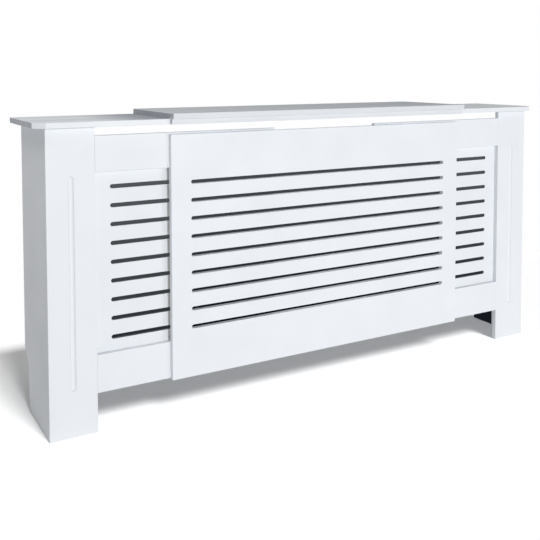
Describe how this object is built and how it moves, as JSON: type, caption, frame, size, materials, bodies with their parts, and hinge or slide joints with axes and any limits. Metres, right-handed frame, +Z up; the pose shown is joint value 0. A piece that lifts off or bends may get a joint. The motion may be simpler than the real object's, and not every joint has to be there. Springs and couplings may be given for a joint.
{
  "type": "radiator cover cabinet",
  "caption": "Extendable white radiator cover: slotted centre panel and bridging top over two sliding side units with fluted posts, rails, slotted grilles and notched sides.",
  "frame": {"origin": "on the floor, at the middle of the footprint, with both side units at their drawn width", "axes": "+X to the right seen from the front, along the width; -Y out of the slotted front and +Y to the wall; +Z up"},
  "size_m": [1.738, 0.31, 0.83],
  "materials": {
    "white_painted_board": "satin white paint on medium-density fibreboard",
    "bare_softwood": "planed, unpainted",
    "zinc_plated_steel": "bright zinc plate"
  },
  "bodies": {
    "centre": {"centre_grille_panel": "white_painted_board", "centre_top_board": "white_painted_board", "centre_top_lip": "white_painted_board", "left_guide_batten": "bare_softwood", "left_lower_clamp_stud": "zinc_plated_steel", "left_lower_clamp_washer": "zinc_plated_steel", "left_upper_clamp_stud": "zinc_plated_steel", "left_upper_clamp_washer": "zinc_plated_steel", "right_guide_batten": "bare_softwood", "right_lower_clamp_stud": "zinc_plated_steel", "right_lower_clamp_washer": "zinc_plated_steel", "right_upper_clamp_stud": "zinc_plated_steel", "right_upper_clamp_washer": "zinc_plated_steel"},
    "left_unit": {"left_side_panel": "white_painted_board", "left_front_post": "white_painted_board", "left_upper_rail": "white_painted_board", "left_lower_rail": "white_painted_board", "left_grille_panel": "white_painted_board", "left_top_board": "white_painted_board", "left_top_block_front": "bare_softwood", "left_top_block_back": "bare_softwood", "left_post_block_lower": "bare_softwood", "left_post_block_upper": "bare_softwood", "left_wall_bracket": "zinc_plated_steel", "left_bracket_screw_1": "zinc_plated_steel", "left_bracket_screw_2": "zinc_plated_steel"},
    "right_unit": {"right_side_panel": "white_painted_board", "right_front_post": "white_painted_board", "right_upper_rail": "white_painted_board", "right_lower_rail": "white_painted_board", "right_grille_panel": "white_painted_board", "right_top_board": "white_painted_board", "right_top_block_front": "bare_softwood", "right_top_block_back": "bare_softwood", "right_post_block_lower": "bare_softwood", "right_post_block_upper": "bare_softwood", "right_wall_bracket": "zinc_plated_steel", "right_bracket_screw_1": "zinc_plated_steel", "right_bracket_screw_2": "zinc_plated_steel"},
    "left_lower_wing_nut": {"left_lower_wing_nut": "zinc_plated_steel"},
    "left_upper_wing_nut": {"left_upper_wing_nut": "zinc_plated_steel"},
    "right_lower_wing_nut": {"right_lower_wing_nut": "zinc_plated_steel"},
    "right_upper_wing_nut": {"right_upper_wing_nut": "zinc_plated_steel"}
  },
  "joints": [
    {"name": "left_unit_slide", "type": "slide", "parent": "centre", "child": "left_unit", "axis": [-1, 0, 0], "range_m": [-0.169, 0.146]},
    {"name": "right_unit_slide", "type": "slide", "parent": "centre", "child": "right_unit", "axis": [1, 0, 0], "range_m": [-0.169, 0.146]},
    {"name": "left_lower_wing_nut_turn", "type": "hinge", "parent": "centre", "child": "left_lower_wing_nut", "pos_m": [-0.481, -0.0804, 0.241], "axis": [0, 1, 0], "continuous": true},
    {"name": "left_upper_wing_nut_turn", "type": "hinge", "parent": "centre", "child": "left_upper_wing_nut", "pos_m": [-0.481, -0.0804, 0.641], "axis": [0, 1, 0], "continuous": true},
    {"name": "right_lower_wing_nut_turn", "type": "hinge", "parent": "centre", "child": "right_lower_wing_nut", "pos_m": [0.481, -0.0804, 0.241], "axis": [0, 1, 0], "continuous": true},
    {"name": "right_upper_wing_nut_turn", "type": "hinge", "parent": "centre", "child": "right_upper_wing_nut", "pos_m": [0.481, -0.0804, 0.641], "axis": [0, 1, 0], "continuous": true}
  ]
}
